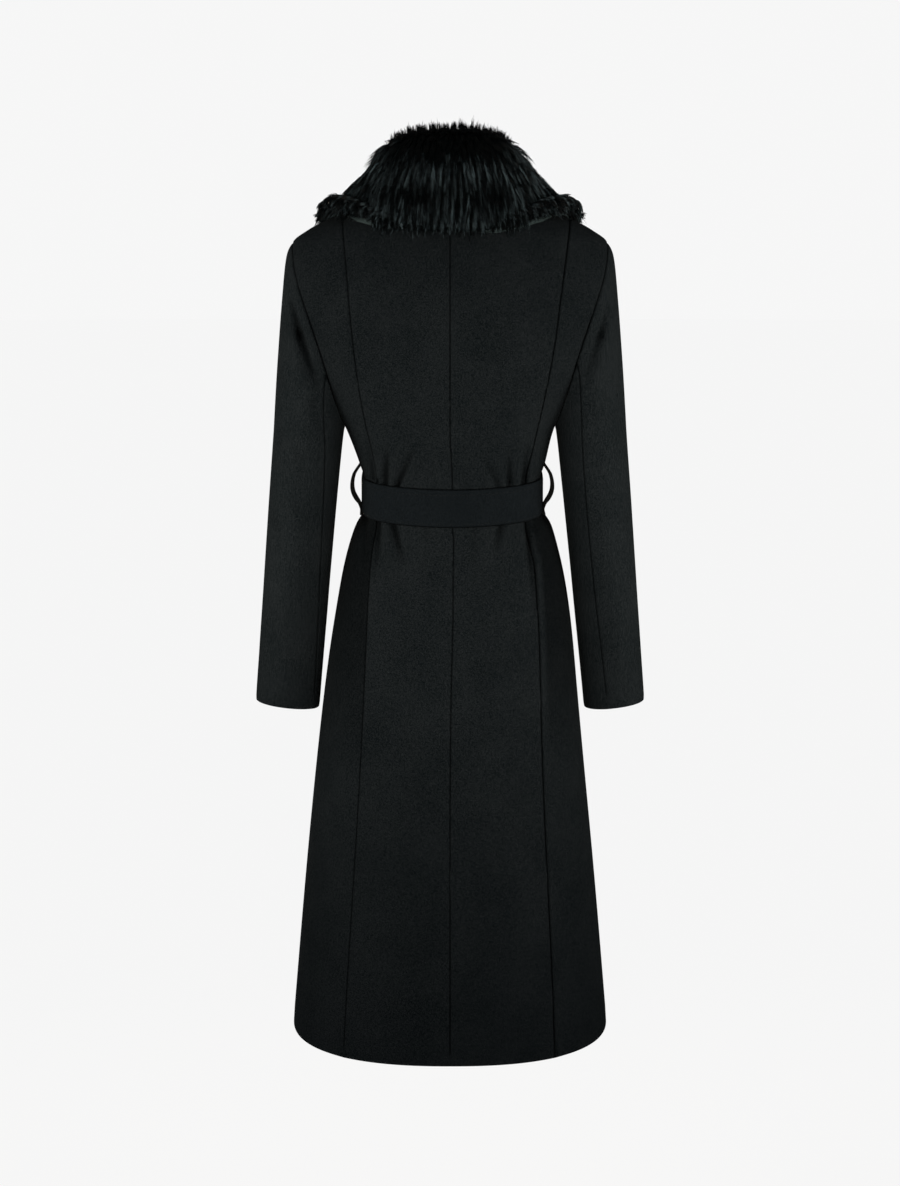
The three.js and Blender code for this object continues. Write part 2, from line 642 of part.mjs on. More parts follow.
// A patch in front of the coat: its points by distance from the middle and down, and its depth.
function frontPatch(name, columns, rows, place, inner, thickness) {
  const layer = (lift) => {
    return rows.map((row) => {
      return columns.map((column) => {
        const { x, down } = place(column, row);
        const turn = degreesAt(x, down, false);
        const degrees = x < ring.shift(down) ? -turn : turn;
        return figure(degrees, down).addScaledVector(figureOut(degrees, down), lift(column, row));
      });
    });
  };
  return wall(name, layer((c, r) => inner(c, r) + thickness(c, r)), layer(inner), WOOL);
}

const KNOT_X = 14;
const KNOT_HALF = 27;
const KNOT_THICK = 24;
const END_LENGTHS = { left: 262, right: 232 };

function beltKnot() {
  const steps = [-1, -0.9, -0.65, -0.3, 0, 0.3, 0.65, 0.9, 1];
  const place = (column, row) => {
    const pinch = 1 - 0.22 * row * row;
    return { x: KNOT_X + column * KNOT_HALF * pinch + 4 * row, down: WAIST + row * (BELT_HALF + 5) };
  };
  const round = (u) => Math.sqrt(Math.max(0, 1 - Math.abs(u) ** 3));
  const thick = (column, row) => 3 + KNOT_THICK * round(column) * round(row);
  const under = (column, row) => BELT_THICK + 1.1 + 1.1 * smoothstep(row, 0.6, 1);
  return frontPatch("belt_knot", steps, steps, place, under, thick);
}

function beltEnd(label, mirror) {
  const columns = [-1, -0.5, 0, 0.5, 1];
  const rows = [0, 0.08, 0.2, 0.35, 0.5, 0.65, 0.8, 0.9, 1];
  const length = END_LENGTHS[label];
  const place = (column, row) => {
    const width = mix(17, BELT_HALF - 0.5, smoothstep(row, 0, 0.3));
    const middle = KNOT_X + mirror * (20 + 12 * row);
    const point = row === 1 ? (1 - Math.abs(column)) * 10 : 0;
    return { x: middle + column * width, down: WAIST + BELT_HALF + 1.5 + row * length + point };
  };
  const hang = (column, row) => {
    const bulge = 3.5 * Math.sin(row * Math.PI) * (1 - column * column * 0.5);
    return mix(0.7, 2.4, smoothstep(row, 0, 0.1)) + bulge;
  };
  return frontPatch("belt_end_" + label, columns, rows, place, hang, () => BELT_THICK);
}

// A belt carrier: a thread-covered cord that stands out over the belt at the side seam.
const CARRIER = [
  { down: 347, out: 3.0, thick: 3.0 },
  { down: 352, out: 8.2, thick: 3.2 },
  { down: 358, out: 13.0, thick: 3.4 },
  { down: 368, out: 16.0, thick: 4.0 },
  { down: 378, out: 16.6, thick: 5.0 },
  { down: 386, out: 14.9, thick: 5.6 },
  { down: 393, out: 11.2, thick: 5.8 },
  { down: 398, out: 8.0, thick: 5.2 },
  { down: 402, out: 7.1, thick: 4.4 },
  { down: 408, out: 6.7, thick: 3.8 },
  { down: 415, out: 3.4, thick: 3.0 },
];
const carrierThick = through(CARRIER, "down", "thick");

function carrier(label, mirror) {
  const hips = [
    { d: 346, x: 120.7 },
    { d: 359, x: 115.4 },
    { d: 408, x: 115.4 },
    { d: 419, x: 124 },
  ];
  const sideOf = through(hips, "d", "x");
  const path = new THREE.CatmullRomCurve3(
    CARRIER.map(({ down, out }) => {
      return new THREE.Vector3(mirror * (sideOf(down) + out) + ring.shift(down), 0, -down);
    }),
  );
  const rings = path.getPoints(20).map((centre, i) => {
    const tangent = path.getTangent(i / 20);
    const side = new THREE.Vector3(0, 1, 0);
    const up = tangent.clone().cross(side).normalize();
    const radius = carrierThick(-centre.z) / 2;
    return Array.from({ length: 8 }, (_, k) => {
      const turn = (k * Math.PI) / 4;
      const point = centre.clone().addScaledVector(side, radius * Math.cos(turn));
      return point.addScaledVector(up, radius * Math.sin(turn));
    });
  });
  return loft("belt_carrier_" + label, rings, CORD, 0.8);
}

const garment = new THREE.Group();
garment.name = "fur_collar_coat";
garment.add(...backPanels("left", 1), ...backPanels("right", -1));
garment.add(frontPanel("left", 1, true), frontPanel("right", -1, false));
garment.add(...sleeve("left", 1), ...sleeve("right", -1));
garment.add(...collarPieces());
garment.add(beltBand(), beltKnot(), beltEnd("left", 1), beltEnd("right", -1));
garment.add(carrier("left", 1), carrier("right", -1));

export default garment;
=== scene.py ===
import math

import bmesh
import bpy
import numpy as np
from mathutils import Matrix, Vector
from mathutils.bvhtree import BVHTree
from mathutils.kdtree import KDTree


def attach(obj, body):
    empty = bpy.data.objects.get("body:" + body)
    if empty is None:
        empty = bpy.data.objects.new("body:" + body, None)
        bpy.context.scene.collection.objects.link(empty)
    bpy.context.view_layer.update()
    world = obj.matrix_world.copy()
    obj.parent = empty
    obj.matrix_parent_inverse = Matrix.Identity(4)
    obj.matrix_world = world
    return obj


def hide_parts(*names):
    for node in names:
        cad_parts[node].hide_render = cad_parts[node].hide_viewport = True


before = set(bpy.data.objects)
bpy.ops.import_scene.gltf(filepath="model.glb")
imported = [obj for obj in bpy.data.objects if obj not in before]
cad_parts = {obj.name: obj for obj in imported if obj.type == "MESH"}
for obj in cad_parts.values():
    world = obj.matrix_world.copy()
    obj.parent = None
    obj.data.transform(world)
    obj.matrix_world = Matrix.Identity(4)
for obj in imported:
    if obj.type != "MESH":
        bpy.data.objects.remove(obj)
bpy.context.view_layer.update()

# The camera looks at the coat's back from a little above, level with the hips.
# The coat hangs in the air as on a wearer, in soft even studio light that is slightly warm.
coat_middle = Vector((0.0, 0.0, -0.52))
camera_distance = 3.2
camera_rise = math.radians(9.0)
camera_lens = 73.03
camera_sensor = 36.0
studio_white = (0.925, 0.925, 0.925, 1)
waist = Vector((0.0, 0.0, -0.40))
warm = (1.0, 0.84, 0.70)

towards_camera = Vector((0.0, math.cos(camera_rise), math.sin(camera_rise)))
camera_data = bpy.data.cameras.new("camera")
camera_data.lens = camera_lens
camera_data.sensor_width = camera_sensor
camera = bpy.data.objects.new("camera", camera_data)
camera.location = coat_middle + towards_camera * camera_distance
camera.rotation_mode = "QUATERNION"
camera.rotation_quaternion = (-towards_camera).to_track_quat("-Z", "Y")
bpy.context.scene.collection.objects.link(camera)
bpy.context.scene.camera = camera

studio = bpy.data.worlds.new("studio")
studio.use_nodes = True
studio.node_tree.nodes["Background"].inputs["Color"].default_value = studio_white
bpy.context.scene.world = studio
bpy.context.scene.view_settings.view_transform = "Standard"


def studio_light(name, place, watts, wide, beam):
    """A soft square light that shines on the coat's waist, in a beam of so many degrees."""
    data = bpy.data.lights.new(name, "AREA")
    data.energy = watts
    data.color = warm
    data.size = wide
    data.spread = math.radians(beam)
    lamp = bpy.data.objects.new(name, data)
    lamp.location = place
    lamp.rotation_mode = "QUATERNION"
    lamp.rotation_quaternion = (Vector(place) - waist).to_track_quat("Z", "Y")
    lamp.visible_camera = False
    bpy.context.scene.collection.objects.link(lamp)


studio_light("back_light", (-0.06, 1.2, -0.38), 23, 0.9, 80)
studio_light("left_light", (1.4, 0.3, -0.3), 28, 0.5, 100)
studio_light("right_light", (-1.4, 0.3, -0.3), 28, 0.5, 100)
studio_light("front_light", (0.4, -1.6, 0.1), 110, 0.9, 110)

# The floor lies below the coat. It is pale because it glows evenly, so the lights,
# which stand close to the coat, leave no bright patches on it.
floor_height = -1.46
floor_radius = 30
floor_paint = (0.004, 0.004, 0.004, 1)
floor_glow = 0.912


def set_inputs(node, values):
    """Sets a shader node's inputs, each by its name or number."""
    for name, value in values.items():
        node.inputs[name].default_value = value


def new_material(name, values):
    """A material whose surface shader has these values."""
    material = bpy.data.materials.new(name)
    material.use_nodes = True
    set_inputs(material.node_tree.nodes["Principled BSDF"], values)
    return material


bpy.ops.object.select_all(action="DESELECT")
bpy.ops.mesh.primitive_circle_add(
    vertices=64, radius=floor_radius, fill_type="NGON", location=(0, 0, floor_height)
)
floor = bpy.context.object
floor.name = "studio_floor"
pale_floor = new_material(
    "pale_floor",
    {
        "Base Color": floor_paint,
        "Roughness": 1.0,
        "Specular IOR Level": 0.0,
        "Emission Color": (1, 1, 1, 1),
        "Emission Strength": floor_glow,
    },
)
floor.data.materials.append(pale_floor)

# The coat's body is heavy black wool, brushed to a short nap and pressed flat along its seams.
# Each panel is cut and sewn to the next one, so a thin sunk line shows where two meet.
# Soft folds form where the belt gathers the cloth and where a sleeve hangs from the shoulder;
# their troughs are painted darker, as painted shade.
hem_level = -1.105
cuff_level = -0.66
edge_margin = 0.002
sharp_corner = math.radians(50)
same_point = 1e-5

# A cut edge moves this far towards its neighbour, and turns in this far.
seam_closing = 0.00024
seam_roll = 0.00045

# The shade of a seam and the painted shade of a trough, the nap's grain and the depth of both on
# the surface. A fold as deep as the full trough has all of a trough's painted shade.
full_trough = 0.0036
# Painted shade: a full trough's colour is darkened to this share.
trough_shade = 0.35
seam_shade = 0.25
seam_shade_mm = 1.9
seam_reach_mm = 40.0
samples_on_edge = 6
nap_share = 0.86
nap_ends = (0.38, 0.62)
groove_mm = 3.0
groove_depth = 0.0007
groove_strength = 0.8
fuzz_depth = 0.0008
fuzz_strength = 0.5


def select_only(piece):
    """Selects one piece and nothing else."""
    bpy.ops.object.select_all(action="DESELECT")
    piece.select_set(True)
    bpy.context.view_layer.objects.active = piece


def cloth_mesh(node, levels=2):
    """A node's shape as a fine smooth mesh that keeps its cut edges crisp."""
    mesh = bmesh.new()
    mesh.from_mesh(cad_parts[node].data)
    bmesh.ops.remove_doubles(mesh, verts=mesh.verts, dist=same_point)
    bmesh.ops.join_triangles(
        mesh,
        faces=mesh.faces,
        angle_face_threshold=math.radians(40),
        angle_shape_threshold=math.radians(80),
    )
    crease = mesh.edges.layers.float.new("crease_edge")
    for edge in mesh.edges:
        if edge.calc_face_angle(0.0) > sharp_corner:
            edge[crease] = 1.0
    data = bpy.data.meshes.new(node + "_cloth")
    mesh.to_mesh(data)
    mesh.free()
    piece = bpy.data.objects.new(node + "_cloth", data)
    bpy.context.scene.collection.objects.link(piece)
    select_only(piece)
    smooth = piece.modifiers.new("smooth", "SUBSURF")
    smooth.levels = levels
    smooth.render_levels = levels
    bpy.ops.object.modifier_apply(modifier=smooth.name)
    return piece


def smooth_regions(fine):
    """Numbers the faces by the smooth region that each lies in, and gives each region's area."""
    sharp = {edge for edge in fine.edges if edge.calc_face_angle(0.0) > sharp_corner}
    region, areas = {}, []
    for seed in fine.faces:
        if seed in region:
            continue
        region[seed] = len(areas)
        areas.append(0.0)
        waiting = [seed]
        while waiting:
            face = waiting.pop()
            areas[-1] += face.calc_area()
            for edge in face.edges:
                for other in edge.link_faces:
                    if edge not in sharp and other not in region:
                        region[other] = region[seed]
                        waiting.append(other)
    return region, areas


def close_seams(piece):
    """Lets a panel's cut edges meet their neighbours and rolls them in a little."""
    fine = bmesh.new()
    fine.from_mesh(piece.data)
    region, areas = smooth_regions(fine)
    broad = sorted(range(len(areas)), key=lambda number: -areas[number])[:2]
    moves = []
    for vert in fine.verts:
        rim = Vector()
        cloth = Vector()
        for face in vert.link_faces:
            if region[face] in broad:
                cloth += face.normal
            else:
                rim += face.normal
        if rim.length and cloth.length:
            moves.append((vert, rim.normalized() * seam_closing - cloth.normalized() * seam_roll))
    for vert, move in moves:
        vert.co += move
    fine.to_mesh(piece.data)
    fine.free()


def points_of(piece):
    """A piece's points as rows of x, y, z in metres."""
    points = np.empty(len(piece.data.vertices) * 3)
    piece.data.vertices.foreach_get("co", points)
    return points.reshape(-1, 3)


def normals_of(piece):
    """The direction in which the surface faces at each of a piece's points."""
    normals = np.empty(len(piece.data.vertices) * 3)
    piece.data.vertices.foreach_get("normal", normals)
    return normals.reshape(-1, 3)


def move_points(piece, points):
    """Puts a piece's points where the rows say."""
    piece.data.vertices.foreach_set("co", points.ravel())
    piece.data.update()


# Soft folds of the body: the side they are on, where they start and end across and up,
# how deep they are and how wide, all in millimetres. A negative depth stands out.
body_folds = [
    ("back", (85, -366), (81, -318), 5.2, 4.5),
    ("back", (92, -366), (97, -318), -2.6, 4.5),
    ("back", (76, -366), (66, -324), -2.0, 4.0),
    ("back", (68, -367), (46, -318), 4.4, 4.5),
    ("back", (59, -367), (34, -326), -2.2, 5.0),
    ("back", (100, -360), (107, -306), 3.0, 5.5),
    ("back", (-78, -365), (-76, -322), 4.2, 4.5),
    ("back", (-87, -364), (-89, -322), -2.2, 4.5),
    ("back", (-97, -364), (-101, -314), 4.2, 5.0),
    ("back", (-62, -366), (-42, -326), 2.6, 5.0),
    ("back", (-50, -365), (-34, -340), -1.0, 6.0),
    ("back", (20, -365), (26, -330), 0.7, 8.0),
    ("back", (-24, -365), (-28, -335), 0.7, 8.0),
    ("back", (75, -417), (60, -466), 5.0, 5.0),
    ("back", (84, -418), (74, -476), -2.4, 5.5),
    ("back", (94, -417), (98, -490), 4.2, 5.5),
    ("back", (-101, -416), (-113, -540), 4.8, 5.0),
    ("back", (-113, -418), (-126, -600), -2.4, 6.0),
    ("back", (-90, -418), (-95, -490), -1.8, 6.0),
    ("back", (-66, -418), (-57, -460), 3.2, 5.0),
    ("back", (112, -416), (122, -580), 4.0, 6.5),
    ("back", (30, -420), (36, -480), 1.3, 9.0),
    ("back", (-30, -420), (-34, -500), 1.2, 10.0),
    ("front", (84, -350), (98, -300), 2.0, 6.0),
    ("front", (-80, -350), (-94, -296), 2.0, 6.0),
    ("front", (40, -350), (60, -310), 1.2, 7.0),
    ("front", (-40, -350), (-62, -306), 1.4, 7.0),
    ("front", (-52, -404), (-68, -480), 2.0, 7.0),
    ("front", (96, -404), (106, -500), 2.0, 7.0),
    ("front", (-92, -404), (-108, -520), 1.6, 8.0),
]
fold_fading = 0.8
side_blend = 0.02
body_inwards = np.array((-0.55, -1.0, 0.0))


def fold_depth(points, folds):
    """How deep the folds press each point in, in metres: less towards each fold's end."""
    depth = np.zeros(len(points))
    across = points[:, [0, 2]] * 1000
    for side, start, end, deep, wide in folds:
        run = np.array(end, float) - np.array(start, float)
        offset = across - np.array(start, float)
        share = np.clip(offset @ run / (run @ run), 0, 1)
        away = np.linalg.norm(offset - share[:, None] * run, axis=1)
        facing = np.clip(points[:, 1] * (1 if side == "back" else -1) / side_blend, 0, 1)
        depth += deep * (1 - fold_fading * share) * np.exp(-((away / wide) ** 2)) * facing
    return depth / 1000


def press_in(piece, inwards, depth):
    """Moves a piece's points inwards and notes how deep in a trough each one lies, 0 to 1, as
    painted shade.
    """
    inwards = inwards / np.linalg.norm(inwards, axis=1)[:, None]
    move_points(piece, points_of(piece) + inwards * depth[:, None])
    # The trough's depth is kept as painted shade for the wool's colour.
    trough = piece.data.attributes.new("trough", "FLOAT", "POINT")
    trough.data.foreach_set("value", np.clip(depth / full_trough, 0, 1))


def press_body(piece):
    """Presses the folds into a panel of the body, towards the middle of the coat."""
    points = points_of(piece)
    press_in(piece, points * body_inwards, fold_depth(points, body_folds))


def above_hem(point):
    """For a panel of the body: every edge is sewn but the hem's."""
    return point.z > hem_level + edge_margin


def every_edge(point):
    """For a piece that is sewn along all its edges."""
    return True


def no_edge(point):
    """For a piece without a sewn edge."""
    return False


def mark_seams(piece, is_sewn):
    """Gives each point its distance to the nearest sewn edge, in millimetres."""
    data = piece.data
    fine = bmesh.new()
    fine.from_mesh(data)
    samples = []
    for edge in fine.edges:
        if edge.calc_face_angle(0.0) > sharp_corner:
            a, b = edge.verts[0].co, edge.verts[1].co
            if is_sewn((a + b) / 2):
                samples += [a.lerp(b, k / samples_on_edge) for k in range(samples_on_edge)]
    tree = KDTree(max(1, len(samples)))
    for i, point in enumerate(samples):
        tree.insert(point, i)
    tree.balance()
    distance = [seam_reach_mm] * len(fine.verts)
    if samples:
        distance = [min(seam_reach_mm, tree.find(vert.co)[2] * 1000) for vert in fine.verts]
    fine.free()
    data.attributes.new("seam_mm", "FLOAT", "POINT").data.foreach_set("value", distance)


def add_node(material, kind, values, **settings):
    """Adds a shader node of a kind to a material, with its settings and its inputs' values."""
    node = material.node_tree.nodes.new("ShaderNode" + kind)
    for name, value in settings.items():
        setattr(node, name, value)
    set_inputs(node, values)
    return node


def join(material, source, output, target, entry):
    """Joins a node's output to another node's input."""
    material.node_tree.links.new(source.outputs[output], target.inputs[entry])


def two_tones(material, source, output, dark, light, ends=(0.0, 1.0)):
    """A colour that goes from dark to light while the source's value goes between the ends."""
    ramp = add_node(material, "ValToRGB", {})
    for i, colour in enumerate((dark, light)):
        ramp.color_ramp.elements[i].position = ends[i]
        ramp.color_ramp.elements[i].color = (*colour, 1)
    join(material, source, output, ramp, "Fac")
    return ramp


def nap_colour(material, nap, cloud, dark, light):
    """The nap's colour, which is a little cloudy from wear."""
    worn = add_node(material, "Math", {1: 1 - nap_share}, operation="MULTIPLY")
    join(material, cloud, "Fac", worn, 0)
    blend = add_node(material, "Math", {1: nap_share}, operation="MULTIPLY_ADD")
    join(material, nap, "Fac", blend, 0)
    join(material, worn, 0, blend, 2)
    return two_tones(material, blend, 0, dark, light, nap_ends)


def soft_range(material, attribute, values):
    """A value that changes softly with an attribute of the surface."""
    change = add_node(material, "MapRange", values, interpolation_type="SMOOTHSTEP")
    join(material, attribute, "Fac", change, "Value")
    return change


def seam_dark_and_painted_shade(material, seam):
    """How far the wool keeps its colour: it is darker along its seams, and painted darker in its
    troughs as painted shade.
    """
    trough = add_node(material, "Attribute", {}, attribute_name="trough")
    at_seam = soft_range(material, seam, {"From Max": seam_shade_mm, "To Min": seam_shade})
    # Painted shade in the troughs of the folds and where the sleeves shade the hips.
    in_trough = soft_range(material, trough, {"To Min": 1.0, "To Max": trough_shade})
    both = add_node(material, "Math", {}, operation="MULTIPLY")
    join(material, at_seam, "Result", both, 0)
    join(material, in_trough, "Result", both, 1)
    return both


def wool_relief(material, seam, nap):
    """The fine relief of the wool: a groove along each seam, and the fuzz of its nap."""
    sink = soft_range(material, seam, {"From Max": groove_mm})
    groove = add_node(material, "Bump", {"Strength": groove_strength, "Distance": groove_depth})
    join(material, sink, "Result", groove, "Height")
    fuzz = add_node(material, "Bump", {"Strength": fuzz_strength, "Distance": fuzz_depth})
    join(material, nap, "Fac", fuzz, "Height")
    join(material, groove, "Normal", fuzz, "Normal")
    return fuzz


def wool(name, dark, light, nap_size=0.0018):
    """Brushed wool: a fine felted nap, cloudy from wear, dark and sunk along its seams, with
    painted shade in its troughs.
    """
    material = new_material(
        name,
        {
            "Roughness": 0.85,
            "Specular IOR Level": 0.0,
            "Sheen Weight": 0.001,
            "Sheen Roughness": 0.45,
            "Sheen Tint": (0.75, 0.85, 0.85, 1),
        },
    )
    shader = material.node_tree.nodes["Principled BSDF"]
    place = add_node(material, "TexCoord", {})
    nap = add_node(material, "TexNoise", {"Scale": 1 / nap_size, "Detail": 4.0, "Roughness": 0.7})
    cloud = add_node(material, "TexNoise", {"Scale": 16.0, "Detail": 2.0})
    join(material, place, "Object", nap, "Vector")
    join(material, place, "Object", cloud, "Vector")
    seam = add_node(material, "Attribute", {}, attribute_name="seam_mm")
    darken = add_node(material, "Mix", {"Factor": 1.0}, data_type="RGBA", blend_type="MULTIPLY")
    join(material, nap_colour(material, nap, cloud, dark, light), "Color", darken, "A")
    join(material, seam_dark_and_painted_shade(material, seam), 0, darken, "B")
    join(material, darken, "Result", shader, "Base Color")
    join(material, wool_relief(material, seam, nap), "Normal", shader, "Normal")
    return material


black_wool = wool("black_wool", (0.00048, 0.0008, 0.001), (0.00215, 0.0028, 0.0033))


def put_on(piece, node, material, corner=sharp_corner):
    """Gives a piece its finish, hangs it from the body's root and hides the node that it stands
    for.
    """
    piece.data.materials.clear()
    piece.data.materials.append(material)
    select_only(piece)
    bpy.ops.object.shade_smooth_by_angle(angle=corner)
    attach(piece, "root")
    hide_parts(node)


def finish_cloth(piece, node, material):
    """Closes a piece of wool at its seams and puts it on."""
    close_seams(piece)
    put_on(piece, node, material)


# The two middle panels of the back meet in a seam down the spine. They are cut in one length
# from the shoulder to the hem, and shaped only by their seams.
for side, cut_area in (("left", 0.143), ("right", 0.147)):
    panel = cloth_mesh("back_centre_" + side)
    press_body(panel)
    mark_seams(panel, above_hem)
    finish_cloth(panel, "back_centre_" + side, black_wool)

# The two side panels of the back run from the armhole and shoulder seam to the hem. Below the
# belt they turn away behind the sleeves, and the sleeves' shadow is painted on them from there
# down to the thigh. On the right one the cloth beside the seams stands out, and the painted
# shadow is weaker there, so it stays lighter.
sleeve_shadow_levels = (-0.76, -0.68, -0.58, -0.50, -0.41, -0.39)
sleeve_shadow_depth = (0.0, 0.40, 0.66, 0.78, 0.80, 0.0)
unshadowed_strip_mm = 5
strip_fading_mm = 7
strip_shadow_share = 0.15


def paint_sleeve_shadow(panel, has_unshadowed_strip):
    """Paints the sleeve's shadow on a side panel, as dark as a trough's painted shade, from the
    belt to the thigh.
    """
    trough = panel.data.attributes["trough"].data
    depth, seam = np.empty(len(trough)), np.empty(len(trough))
    trough.foreach_get("value", depth)
    panel.data.attributes["seam_mm"].data.foreach_get("value", seam)
    # The sleeve's painted shadow, by height.
    shade = np.interp(points_of(panel)[:, 2], sleeve_shadow_levels, sleeve_shadow_depth)
    if has_unshadowed_strip:
        # The painted shadow is weaker beside the seams.
        shade *= np.clip((seam - unshadowed_strip_mm) / strip_fading_mm, strip_shadow_share, 1)
    trough.foreach_set("value", np.maximum(depth, shade))


for side, cut_area in (("left", 0.126), ("right", 0.122)):
    panel = cloth_mesh("back_side_" + side)
    press_body(panel)
    mark_seams(panel, above_hem)
    paint_sleeve_shadow(panel, side == "right")
    finish_cloth(panel, "back_side_" + side, black_wool)

# The fronts wrap over each other and are closed by the belt alone. Each is sewn only at its
# own side of the coat, and its free edge is plain.
sewn_from = 0.085
for side, mirror, cut_area in (("left", 1, 0.322), ("right", -1, 0.326)):
    panel = cloth_mesh("front_" + side)
    press_body(panel)
    mark_seams(panel, lambda point: above_hem(point) and point.x * mirror > sewn_from)
    finish_cloth(panel, "front_" + side, black_wool)

# Each sleeve is cut in an upper and an under piece and set into the armhole with a little ease,
# so a hollow forms beside the back of the armhole, with painted shade in it. The cuffs are plain
# turned edges. The folds are laid out on the left sleeve, and half as strong on the right one,
# and their troughs get painted shade.
sleeve_folds = [
    ("back", (194, -176), (206, -130), 5.5, 5.0),
    ("back", (194, -176), (171, -240), 5.5, 5.5),
    ("back", (208, -160), (192, -226), -2.5, 5.0),
    ("back", (176, -262), (164, -320), 1.4, 7.0),
    ("back", (196, -330), (186, -392), 1.2, 9.0),
    ("back", (224, -300), (216, -350), 1.0, 9.0),
    ("back", (230, -420), (214, -470), 1.2, 8.0),
    ("back", (182, -470), (200, -500), 1.2, 7.0),
    ("back", (206, -540), (222, -580), 0.9, 8.0),
    ("front", (196, -150), (178, -220), 1.4, 9.0),
    ("front", (206, -400), (182, -440), 1.8, 7.0),
    ("front", (214, -440), (190, -476), 1.6, 7.0),
]

# The middle line of the left arm, from the cuff up: height, across and back, in metres.
arm_line = np.array(
    [
        (-0.68, 0.2210, -0.041),
        (-0.58, 0.2125, -0.026),
        (-0.49, 0.2035, -0.013),
        (-0.40, 0.1950, -0.004),
        (-0.31, 0.1870, 0.0),
        (-0.18, 0.1930, 0.0),
        (-0.05, 0.1950, 0.0),
    ]
)


def above_cuff(point):
    """For a piece of a sleeve: every edge is sewn but the cuff's."""
    return point.z > cuff_level


def press_sleeve(piece, mirror, strength):
    """Presses the folds into a piece of a sleeve, towards the middle of the arm."""
    points = points_of(piece)
    height = points[:, 2]
    middle_x = np.interp(height, arm_line[:, 0], arm_line[:, 1]) * mirror
    middle_y = np.interp(height, arm_line[:, 0], arm_line[:, 2])
    none = np.zeros(len(points))
    inwards = np.stack([middle_x - points[:, 0], middle_y - points[:, 1], none], 1)
    on_left_arm = points * np.array((mirror, 1, 1)) - np.stack([none, middle_y, none], 1)
    press_in(piece, inwards, fold_depth(on_left_arm, sleeve_folds) * strength)


# The sleeves' wool is the body's wool painted lighter, as painted light that the sleeves catch.
sleeve_wool_painted_lighter = wool("sleeve_wool_painted_lighter", (0.0006, 0.00102, 0.00124), (0.0027, 0.0035, 0.0041))
sleeve_cuts = [
    ("sleeve_upper_left", 1, 1.0, (0.25, 0.65), 0.1215),
    ("sleeve_under_left", 1, 1.0, (0.13, 0.49), 0.0408),
    ("sleeve_upper_right", -1, 0.5, (0.25, 0.65), 0.1126),
    ("sleeve_under_right", -1, 0.5, (0.14, 0.49), 0.0488),
]
for node, mirror, strength, flat, cut_area in sleeve_cuts:
    part = cloth_mesh(node)
    press_sleeve(part, mirror, strength)
    mark_seams(part, above_cuff)
    finish_cloth(part, node, sleeve_wool_painted_lighter)

# The belt is two layers of the same wool, turned out and topstitched along both edges.
# It goes once round the waist and is tied at the front, and its two ends hang down.
belt_wool = wool("belt_wool", (0.00064, 0.00094, 0.0012), (0.00135, 0.0019, 0.0024))
belt_cuts = [
    ("belt_band", (0.76, 0.05), 0.0372),
    ("belt_end_left", (0.055, 0.29), 0.0147),
    ("belt_end_right", (0.055, 0.26), 0.0129),
]
belt_pieces = {}
for node, flat, cut_area in belt_cuts:
    part = cloth_mesh(node)
    mark_seams(part, every_edge)
    finish_cloth(part, node, belt_wool)
    belt_pieces[node] = part

knot = cloth_mesh("belt_knot")
mark_seams(knot, no_edge)
put_on(knot, "belt_knot", belt_wool)

# The topstitching lies in two rows of black thread round the belt, one near each edge.
# The rows follow the belt, which dips at the back.
belt_level = -0.3835
belt_dip = 0.0125
stitch_rows = (0.0172, -0.0208)
stitch_spacing = 0.0042
stitch_half_length = 0.0015
stitch_half_width = 0.00028
stitch_rise = 0.00022
clear_of_belt = 0.3


def stitch(points, faces, centre, along, out):
    """One stitch, a slim rounded spindle of thread that lies along its row."""
    side = out.cross(along).normalized()
    first = len(points)
    points += [
        centre - along * stitch_half_length,
        centre + side * stitch_half_width,
        centre + out * stitch_rise * 2,
        centre - side * stitch_half_width,
        centre - out * stitch_rise,
        centre + along * stitch_half_length,
    ]
    ring = (1, 2, 3, 4)
    for k in range(4):
        a, b = first + ring[k], first + ring[(k + 1) % 4]
        faces += [(first, b, a), (first + 5, a, b)]


def surface_of(data):
    """A mesh as a surface that can be asked what lies nearest to a point or along a line."""
    corners = [list(face.vertices) for face in data.polygons]
    return BVHTree.FromPolygons([vert.co for vert in data.vertices], corners)


def mottle(material, grain_scale, dark, light):
    """Gives a material a colour that varies finely between dark and light."""
    place = add_node(material, "TexCoord", {})
    grain = add_node(material, "TexNoise", {"Scale": grain_scale})
    join(material, place, "Object", grain, "Vector")
    colour = two_tones(material, grain, "Fac", dark, light)
    join(material, colour, "Color", material.node_tree.nodes["Principled BSDF"], "Base Color")


thread = new_material("black_thread", {"Roughness": 0.6, "Specular IOR Level": 0.03})
mottle(thread, 2500.0, (0.0005, 0.0007, 0.0008), (0.0018, 0.0024, 0.0027))

belt_surface = surface_of(belt_pieces["belt_band"].data)
stitch_points, stitch_faces = [], []
for row in stitch_rows:
    turn = 0.0
    while turn < 360.0:
        angle = math.radians(turn)
        spoke = Vector((math.sin(angle), math.cos(angle), 0))
        level = belt_level - belt_dip * math.cos(angle) + row
        start = spoke * clear_of_belt + Vector((0, 0, level))
        place, out, _, _ = belt_surface.ray_cast(start, -spoke)
        along = out.cross(Vector((0, 0, 1))).normalized()
        stitch(stitch_points, stitch_faces, place, along, out)
        turn += math.degrees(stitch_spacing / math.hypot(place.x, place.y))

stitch_data = bpy.data.meshes.new("belt_topstitching")
stitch_data.from_pydata(stitch_points, [], stitch_faces)
stitch_data.polygons.foreach_set("use_smooth", [True] * len(stitch_faces))
stitch_data.materials.append(thread)
topstitching = bpy.data.objects.new("belt_topstitching", stitch_data)
bpy.context.scene.collection.objects.link(topstitching)
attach(topstitching, "root")

